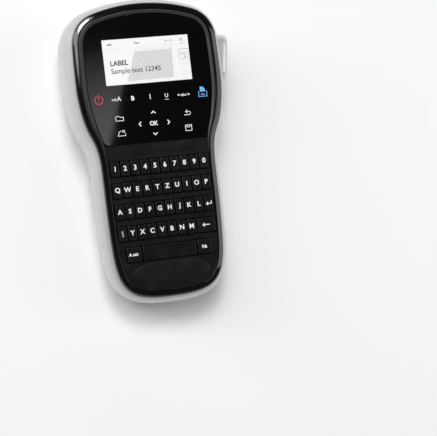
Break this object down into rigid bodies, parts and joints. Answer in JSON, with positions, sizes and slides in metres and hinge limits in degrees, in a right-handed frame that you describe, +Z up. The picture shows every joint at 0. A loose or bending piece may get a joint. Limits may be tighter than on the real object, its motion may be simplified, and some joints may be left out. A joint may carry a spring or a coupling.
{
  "type": "label maker",
  "caption": "Hand-held electronic label maker with a tilted display, full letter keyboard, side cutter button and a rear cassette door.",
  "frame": {"origin": "middle of the footprint, on the desk that the back lies on", "axes": "+Z up from the desk, +Y towards the head end where the label comes out, +X to the right as seen from the front; the face leans towards -Y by 6.19 degrees"},
  "size_m": [0.1206, 0.2126, 0.0589],
  "materials": {
    "black_case": "gloss rim, fine satin deck",
    "gloss_panel": "high gloss with printed symbols",
    "window": "clear",
    "display": "lit display film",
    "keys": "satin",
    "keypad_rubber": "matt",
    "circuit_board": "solder mask",
    "silver_case": "silver paint, satin",
    "bay_plastic": "fine texture",
    "cassette_plastic": "satin",
    "battery_wrap": "shrink wrap",
    "roller_rubber": "matt",
    "steel": "ground",
    "brass": "cut"
  },
  "bodies": {
    "root": {"front_cover": "black_case", "control_panel": "gloss_panel", "display_window": "window", "display_module": "display", "keypad_mat": "keypad_rubber", "main_board": "circuit_board", "rear_cover": "silver_case", "battery_pack": "battery_wrap", "cassette_bay": "bay_plastic", "label_cassette": "cassette_plastic", "print_head": "steel", "feed_motor": "steel"},
    "key_1": {"key_1": "keys"},
    "key_2": {"key_2": "keys"},
    "key_3": {"key_3": "keys"},
    "key_4": {"key_4": "keys"},
    "key_5": {"key_5": "keys"},
    "key_6": {"key_6": "keys"},
    "key_7": {"key_7": "keys"},
    "key_8": {"key_8": "keys"},
    "key_9": {"key_9": "keys"},
    "key_0": {"key_0": "keys"},
    "key_q": {"key_q": "keys"},
    "key_w": {"key_w": "keys"},
    "key_e": {"key_e": "keys"},
    "key_r": {"key_r": "keys"},
    "key_t": {"key_t": "keys"},
    "key_z": {"key_z": "keys"},
    "key_u": {"key_u": "keys"},
    "key_i": {"key_i": "keys"},
    "key_o": {"key_o": "keys"},
    "key_p": {"key_p": "keys"},
    "key_a": {"key_a": "keys"},
    "key_s": {"key_s": "keys"},
    "key_d": {"key_d": "keys"},
    "key_f": {"key_f": "keys"},
    "key_g": {"key_g": "keys"},
    "key_h": {"key_h": "keys"},
    "key_j": {"key_j": "keys"},
    "key_k": {"key_k": "keys"},
    "key_l": {"key_l": "keys"},
    "key_enter": {"key_enter": "keys"},
    "key_caps": {"key_caps": "keys"},
    "key_y": {"key_y": "keys"},
    "key_x": {"key_x": "keys"},
    "key_c": {"key_c": "keys"},
    "key_v": {"key_v": "keys"},
    "key_b": {"key_b": "keys"},
    "key_n": {"key_n": "keys"},
    "key_m": {"key_m": "keys"},
    "key_delete": {"key_delete": "keys"},
    "key_accent": {"key_accent": "keys"},
    "key_space": {"key_space": "keys"},
    "key_symbols": {"key_symbols": "keys"},
    "cutter": {"cutter_button": "silver_case", "cutter_blade": "steel"},
    "cassette_door": {"cassette_door": "silver_case"},
    "battery_door": {"battery_door": "silver_case"},
    "feed_roller": {"feed_roller": "roller_rubber"},
    "motor_pinion": {"motor_pinion": "brass"}
  },
  "joints": [
    {"name": "cutter_press", "type": "slide", "parent": "root", "child": "cutter", "axis": [-1, 0, 0], "range_m": [0, 0.0045], "stiffness_N_per_m": 900, "springref_m": -0.002},
    {"name": "cassette_door_hinge", "type": "hinge", "parent": "root", "child": "cassette_door", "pos_m": [-0.00405, 0.02004, 0], "axis": [-1, 0, 0], "range_deg": [0, 105]},
    {"name": "battery_door_slide", "type": "slide", "parent": "root", "child": "battery_door", "axis": [0, -1, 0], "range_m": [0, 0.018]},
    {"name": "feed_roller_spin", "type": "hinge", "parent": "root", "child": "feed_roller", "pos_m": [0.00195, 0.08309, 0.01775], "axis": [0, -0.1077, 0.9942], "continuous": true},
    {"name": "motor_pinion_spin", "type": "hinge", "parent": "root", "child": "motor_pinion", "pos_m": [-0.01083, 0.07727, 0.02828], "axis": [0, -0.1077, 0.9942], "continuous": true},
    {"name": "key_1_press", "type": "slide", "parent": "root", "child": "key_1", "axis": [0, 0.1077, -0.9942], "range_m": [0, 0.001], "stiffness_N_per_m": 400, "springref_m": -0.0004},
    {"name": "key_2_press", "type": "slide", "parent": "root", "child": "key_2", "axis": [0, 0.1077, -0.9942], "range_m": [0, 0.001], "stiffness_N_per_m": 400, "springref_m": -0.0004},
    {"name": "key_3_press", "type": "slide", "parent": "root", "child": "key_3", "axis": [0, 0.1077, -0.9942], "range_m": [0, 0.001], "stiffness_N_per_m": 400, "springref_m": -0.0004},
    {"name": "key_4_press", "type": "slide", "parent": "root", "child": "key_4", "axis": [0, 0.1077, -0.9942], "range_m": [0, 0.001], "stiffness_N_per_m": 400, "springref_m": -0.0004},
    {"name": "key_5_press", "type": "slide", "parent": "root", "child": "key_5", "axis": [0, 0.1077, -0.9942], "range_m": [0, 0.001], "stiffness_N_per_m": 400, "springref_m": -0.0004},
    {"name": "key_6_press", "type": "slide", "parent": "root", "child": "key_6", "axis": [0, 0.1077, -0.9942], "range_m": [0, 0.001], "stiffness_N_per_m": 400, "springref_m": -0.0004},
    {"name": "key_7_press", "type": "slide", "parent": "root", "child": "key_7", "axis": [0, 0.1077, -0.9942], "range_m": [0, 0.001], "stiffness_N_per_m": 400, "springref_m": -0.0004},
    {"name": "key_8_press", "type": "slide", "parent": "root", "child": "key_8", "axis": [0, 0.1077, -0.9942], "range_m": [0, 0.001], "stiffness_N_per_m": 400, "springref_m": -0.0004},
    {"name": "key_9_press", "type": "slide", "parent": "root", "child": "key_9", "axis": [0, 0.1077, -0.9942], "range_m": [0, 0.001], "stiffness_N_per_m": 400, "springref_m": -0.0004},
    {"name": "key_0_press", "type": "slide", "parent": "root", "child": "key_0", "axis": [0, 0.1077, -0.9942], "range_m": [0, 0.001], "stiffness_N_per_m": 400, "springref_m": -0.0004},
    {"name": "key_q_press", "type": "slide", "parent": "root", "child": "key_q", "axis": [0, 0.1077, -0.9942], "range_m": [0, 0.001], "stiffness_N_per_m": 400, "springref_m": -0.0004},
    {"name": "key_w_press", "type": "slide", "parent": "root", "child": "key_w", "axis": [0, 0.1077, -0.9942], "range_m": [0, 0.001], "stiffness_N_per_m": 400, "springref_m": -0.0004},
    {"name": "key_e_press", "type": "slide", "parent": "root", "child": "key_e", "axis": [0, 0.1077, -0.9942], "range_m": [0, 0.001], "stiffness_N_per_m": 400, "springref_m": -0.0004},
    {"name": "key_r_press", "type": "slide", "parent": "root", "child": "key_r", "axis": [0, 0.1077, -0.9942], "range_m": [0, 0.001], "stiffness_N_per_m": 400, "springref_m": -0.0004},
    {"name": "key_t_press", "type": "slide", "parent": "root", "child": "key_t", "axis": [0, 0.1077, -0.9942], "range_m": [0, 0.001], "stiffness_N_per_m": 400, "springref_m": -0.0004},
    {"name": "key_z_press", "type": "slide", "parent": "root", "child": "key_z", "axis": [0, 0.1077, -0.9942], "range_m": [0, 0.001], "stiffness_N_per_m": 400, "springref_m": -0.0004},
    {"name": "key_u_press", "type": "slide", "parent": "root", "child": "key_u", "axis": [0, 0.1077, -0.9942], "range_m": [0, 0.001], "stiffness_N_per_m": 400, "springref_m": -0.0004},
    {"name": "key_i_press", "type": "slide", "parent": "root", "child": "key_i", "axis": [0, 0.1077, -0.9942], "range_m": [0, 0.001], "stiffness_N_per_m": 400, "springref_m": -0.0004},
    {"name": "key_o_press", "type": "slide", "parent": "root", "child": "key_o", "axis": [0, 0.1077, -0.9942], "range_m": [0, 0.001], "stiffness_N_per_m": 400, "springref_m": -0.0004},
    {"name": "key_p_press", "type": "slide", "parent": "root", "child": "key_p", "axis": [0, 0.1077, -0.9942], "range_m": [0, 0.001], "stiffness_N_per_m": 400, "springref_m": -0.0004},
    {"name": "key_a_press", "type": "slide", "parent": "root", "child": "key_a", "axis": [0, 0.1077, -0.9942], "range_m": [0, 0.001], "stiffness_N_per_m": 400, "springref_m": -0.0004},
    {"name": "key_s_press", "type": "slide", "parent": "root", "child": "key_s", "axis": [0, 0.1077, -0.9942], "range_m": [0, 0.001], "stiffness_N_per_m": 400, "springref_m": -0.0004},
    {"name": "key_d_press", "type": "slide", "parent": "root", "child": "key_d", "axis": [0, 0.1077, -0.9942], "range_m": [0, 0.001], "stiffness_N_per_m": 400, "springref_m": -0.0004},
    {"name": "key_f_press", "type": "slide", "parent": "root", "child": "key_f", "axis": [0, 0.1077, -0.9942], "range_m": [0, 0.001], "stiffness_N_per_m": 400, "springref_m": -0.0004},
    {"name": "key_g_press", "type": "slide", "parent": "root", "child": "key_g", "axis": [0, 0.1077, -0.9942], "range_m": [0, 0.001], "stiffness_N_per_m": 400, "springref_m": -0.0004},
    {"name": "key_h_press", "type": "slide", "parent": "root", "child": "key_h", "axis": [0, 0.1077, -0.9942], "range_m": [0, 0.001], "stiffness_N_per_m": 400, "springref_m": -0.0004},
    {"name": "key_j_press", "type": "slide", "parent": "root", "child": "key_j", "axis": [0, 0.1077, -0.9942], "range_m": [0, 0.001], "stiffness_N_per_m": 400, "springref_m": -0.0004},
    {"name": "key_k_press", "type": "slide", "parent": "root", "child": "key_k", "axis": [0, 0.1077, -0.9942], "range_m": [0, 0.001], "stiffness_N_per_m": 400, "springref_m": -0.0004},
    {"name": "key_l_press", "type": "slide", "parent": "root", "child": "key_l", "axis": [0, 0.1077, -0.9942], "range_m": [0, 0.001], "stiffness_N_per_m": 400, "springref_m": -0.0004},
    {"name": "key_enter_press", "type": "slide", "parent": "root", "child": "key_enter", "axis": [0, 0.1077, -0.9942], "range_m": [0, 0.001], "stiffness_N_per_m": 400, "springref_m": -0.0004},
    {"name": "key_caps_press", "type": "slide", "parent": "root", "child": "key_caps", "axis": [0, 0.1077, -0.9942], "range_m": [0, 0.001], "stiffness_N_per_m": 400, "springref_m": -0.0004},
    {"name": "key_y_press", "type": "slide", "parent": "root", "child": "key_y", "axis": [0, 0.1077, -0.9942], "range_m": [0, 0.001], "stiffness_N_per_m": 400, "springref_m": -0.0004},
    {"name": "key_x_press", "type": "slide", "parent": "root", "child": "key_x", "axis": [0, 0.1077, -0.9942], "range_m": [0, 0.001], "stiffness_N_per_m": 400, "springref_m": -0.0004},
    {"name": "key_c_press", "type": "slide", "parent": "root", "child": "key_c", "axis": [0, 0.1077, -0.9942], "range_m": [0, 0.001], "stiffness_N_per_m": 400, "springref_m": -0.0004},
    {"name": "key_v_press", "type": "slide", "parent": "root", "child": "key_v", "axis": [0, 0.1077, -0.9942], "range_m": [0, 0.001], "stiffness_N_per_m": 400, "springref_m": -0.0004},
    {"name": "key_b_press", "type": "slide", "parent": "root", "child": "key_b", "axis": [0, 0.1077, -0.9942], "range_m": [0, 0.001], "stiffness_N_per_m": 400, "springref_m": -0.0004},
    {"name": "key_n_press", "type": "slide", "parent": "root", "child": "key_n", "axis": [0, 0.1077, -0.9942], "range_m": [0, 0.001], "stiffness_N_per_m": 400, "springref_m": -0.0004},
    {"name": "key_m_press", "type": "slide", "parent": "root", "child": "key_m", "axis": [0, 0.1077, -0.9942], "range_m": [0, 0.001], "stiffness_N_per_m": 400, "springref_m": -0.0004},
    {"name": "key_delete_press", "type": "slide", "parent": "root", "child": "key_delete", "axis": [0, 0.1077, -0.9942], "range_m": [0, 0.001], "stiffness_N_per_m": 400, "springref_m": -0.0004},
    {"name": "key_accent_press", "type": "slide", "parent": "root", "child": "key_accent", "axis": [0, 0.1077, -0.9942], "range_m": [0, 0.001], "stiffness_N_per_m": 400, "springref_m": -0.0004},
    {"name": "key_space_press", "type": "slide", "parent": "root", "child": "key_space", "axis": [0, 0.1077, -0.9942], "range_m": [0, 0.001], "stiffness_N_per_m": 600, "springref_m": -0.0004},
    {"name": "key_symbols_press", "type": "slide", "parent": "root", "child": "key_symbols", "axis": [0, 0.1077, -0.9942], "range_m": [0, 0.001], "stiffness_N_per_m": 400, "springref_m": -0.0004}
  ],
  "couplings": [
    {"joint": "motor_pinion_spin", "follows": "feed_roller_spin", "ratio": -2.4}
  ]
}
